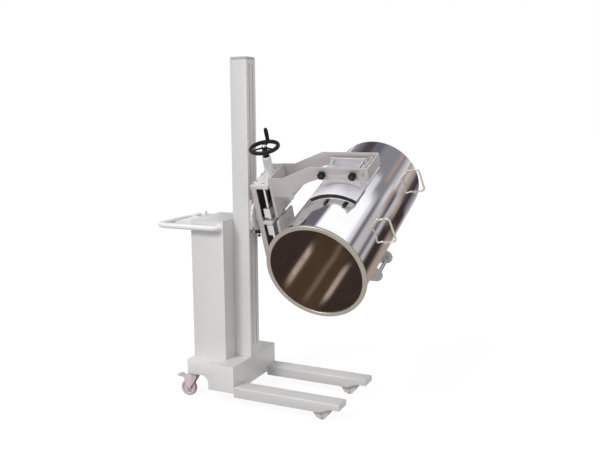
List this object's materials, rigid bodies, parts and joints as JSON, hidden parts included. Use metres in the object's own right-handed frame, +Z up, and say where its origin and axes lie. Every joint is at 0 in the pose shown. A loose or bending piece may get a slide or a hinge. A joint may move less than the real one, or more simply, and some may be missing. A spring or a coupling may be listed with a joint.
{
  "type": "drum clamp",
  "caption": "Wheeled drum lifter whose mast carries a turning clamp head, with two padded jaws round an open steel drum.",
  "frame": {"origin": "on the floor, under the middle of the machine's box with its drum", "axes": "+X forward along the fork legs, +Y to the machine's left, +Z up"},
  "size_m": [1.5134, 1.1448, 2.015],
  "materials": {
    "paint": "semi-gloss",
    "paint_shade": "semi-gloss",
    "steel": "machined",
    "polished": "polished",
    "black": "gloss",
    "rubber": "matt",
    "grey_plastic": "satin",
    "dark_plastic": "satin",
    "bronze": "machined"
  },
  "bodies": {
    "base": {"chassis": "paint", "right_leg": "paint", "left_leg": "paint", "roller_brackets": "paint_shade", "cabinet_shell": "paint", "cabinet_lid": "paint_shade", "push_handle": "paint_shade", "control_console": "paint", "battery_pack": "dark_plastic", "lift_controller": "dark_plastic", "lift_gearmotor": "steel", "mast": "paint", "mast_cap": "dark_plastic", "screw_bearings": "steel"},
    "right_front_roller": {"right_roller": "grey_plastic"},
    "left_front_roller": {"left_roller": "grey_plastic"},
    "right_swivel": {"right_caster_fork": "grey_plastic"},
    "left_swivel": {"left_caster_fork": "grey_plastic"},
    "right_wheel": {"right_caster_wheel": "grey_plastic"},
    "left_wheel": {"left_caster_wheel": "grey_plastic"},
    "right_pedal": {"right_brake_pedal": "grey_plastic"},
    "left_pedal": {"left_brake_pedal": "grey_plastic"},
    "door": {"cabinet_door": "paint"},
    "button": {"stop_button": "grey_plastic"},
    "lever": {"lift_lever": "grey_plastic"},
    "lift_spindle": {"lift_screw": "polished"},
    "carriage": {"carriage_frame": "paint_shade", "carriage_plate": "paint_shade", "guide_shoes": "black", "lift_nut": "bronze", "pivot_bearing": "steel", "index_bracket": "black"},
    "index_plunger": {"index_pin": "black"},
    "head": {"pivot_shaft": "steel", "index_disc": "steel", "head_channel": "paint", "head_cross_plates": "paint", "guide_rods": "polished", "screw_column": "paint_shade"},
    "clamp_spindle": {"clamp_screw": "polished", "handwheel": "black"},
    "grip": {"crank_grip": "black"},
    "upper_jaw": {"upper_crosshead": "steel", "upper_jaw_plate": "paint", "upper_arms": "paint", "upper_cross_members": "paint", "upper_saddle": "polished", "upper_liner": "rubber", "saddle_pins": "steel"},
    "front_pin_knob": {"front_knob": "black"},
    "rear_pin_knob": {"rear_knob": "black"},
    "lower_jaw": {"lower_crosshead": "steel", "lower_jaw_plate": "paint", "lower_arms": "paint", "lower_cross_rods": "paint_shade", "lower_saddle": "polished", "lower_liner": "rubber"},
    "drum": {"drum_shell": "polished", "drum_rim": "paint_shade", "drum_handles": "polished"}
  },
  "joints": [
    {"name": "lift", "type": "slide", "parent": "base", "child": "carriage", "axis": [0, 0, 1], "range_m": [-0.36, 0.7]},
    {"name": "lift_screw_turn", "type": "hinge", "parent": "base", "child": "lift_spindle", "pos_m": [-0.24024, 0.02799, 0.3], "axis": [0, 0, 1], "range_deg": [-6480, 12600]},
    {"name": "head_turn", "type": "hinge", "parent": "carriage", "child": "head", "pos_m": [-0.14674, 0.02799, 1.105], "axis": [1, 0, 0], "range_deg": [-112.5, 67.5]},
    {"name": "index_pin_slide", "type": "slide", "parent": "carriage", "child": "index_plunger", "axis": [0, 0, 1], "range_m": [0, 0.009]},
    {"name": "upper_jaw_slide", "type": "slide", "parent": "head", "child": "upper_jaw", "axis": [0, -0.3827, 0.9239], "range_m": [0, 0.06]},
    {"name": "lower_jaw_slide", "type": "slide", "parent": "head", "child": "lower_jaw", "axis": [0, 0.3827, -0.9239], "range_m": [0, 0.06]},
    {"name": "clamp_screw_turn", "type": "hinge", "parent": "head", "child": "clamp_spindle", "pos_m": [-0.01673, 0.02799, 1.105], "axis": [0, -0.3827, 0.9239], "range_deg": [0, 3600]},
    {"name": "crank_grip_turn", "type": "hinge", "parent": "clamp_spindle", "child": "grip", "pos_m": [-0.03019, -0.08366, 1.57397], "axis": [0, -0.3827, 0.9239], "continuous": true},
    {"name": "front_knob_turn", "type": "hinge", "parent": "upper_jaw", "child": "front_pin_knob", "pos_m": [0.53226, -0.21031, 1.36673], "axis": [0, -0.9239, -0.3827], "continuous": true},
    {"name": "rear_knob_turn", "type": "hinge", "parent": "upper_jaw", "child": "rear_pin_knob", "pos_m": [0.35726, -0.21031, 1.36673], "axis": [0, -0.9239, -0.3827], "continuous": true},
    {"name": "drum_slide", "type": "slide", "parent": "head", "child": "drum", "axis": [0, -0.9239, -0.3827], "range_m": [0, 0.7]},
    {"name": "cabinet_door_turn", "type": "hinge", "parent": "base", "child": "door", "pos_m": [-0.52073, 0.18999, 0.6], "axis": [0, 0, -1], "range_deg": [0, 110]},
    {"name": "stop_button_press", "type": "slide", "parent": "base", "child": "button", "axis": [0, 0, 1], "range_m": [-0.005, 0], "stiffness_N_per_m": 1500, "springref_m": 0.001},
    {"name": "lift_lever_turn", "type": "hinge", "parent": "base", "child": "lever", "pos_m": [-0.54273, 0.07299, 1.064], "axis": [0, 1, 0], "range_deg": [-15, 15], "stiffness_Nm_per_rad": 0.8},
    {"name": "right_swivel_turn", "type": "hinge", "parent": "base", "child": "right_swivel", "pos_m": [-0.48474, -0.19101, 0.137], "axis": [0, 0, 1], "continuous": true},
    {"name": "right_wheel_roll", "type": "hinge", "parent": "right_swivel", "child": "right_wheel", "pos_m": [-0.52673, -0.19101, 0.05], "axis": [0, 1, 0], "continuous": true},
    {"name": "right_brake_press", "type": "hinge", "parent": "right_swivel", "child": "right_pedal", "pos_m": [-0.53073, -0.19101, 0.117], "axis": [0, -1, 0], "range_deg": [0, 10]},
    {"name": "right_roller_roll", "type": "hinge", "parent": "base", "child": "right_front_roller", "pos_m": [0.35626, -0.18401, 0.027], "axis": [0, 1, 0], "continuous": true},
    {"name": "left_swivel_turn", "type": "hinge", "parent": "base", "child": "left_swivel", "pos_m": [-0.48474, 0.24699, 0.137], "axis": [0, 0, 1], "continuous": true},
    {"name": "left_wheel_roll", "type": "hinge", "parent": "left_swivel", "child": "left_wheel", "pos_m": [-0.52673, 0.24699, 0.05], "axis": [0, 1, 0], "continuous": true},
    {"name": "left_brake_press", "type": "hinge", "parent": "left_swivel", "child": "left_pedal", "pos_m": [-0.53073, 0.24699, 0.117], "axis": [0, -1, 0], "range_deg": [0, 10]},
    {"name": "left_roller_roll", "type": "hinge", "parent": "base", "child": "left_front_roller", "pos_m": [0.35626, 0.23999, 0.027], "axis": [0, 1, 0], "continuous": true}
  ],
  "couplings": [
    {"joint": "lift_screw_turn", "follows": "lift", "rad_per_m": 314.16},
    {"joint": "lower_jaw_slide", "follows": "upper_jaw_slide", "ratio": 1},
    {"joint": "clamp_screw_turn", "follows": "upper_jaw_slide", "rad_per_m": 1047.2}
  ]
}
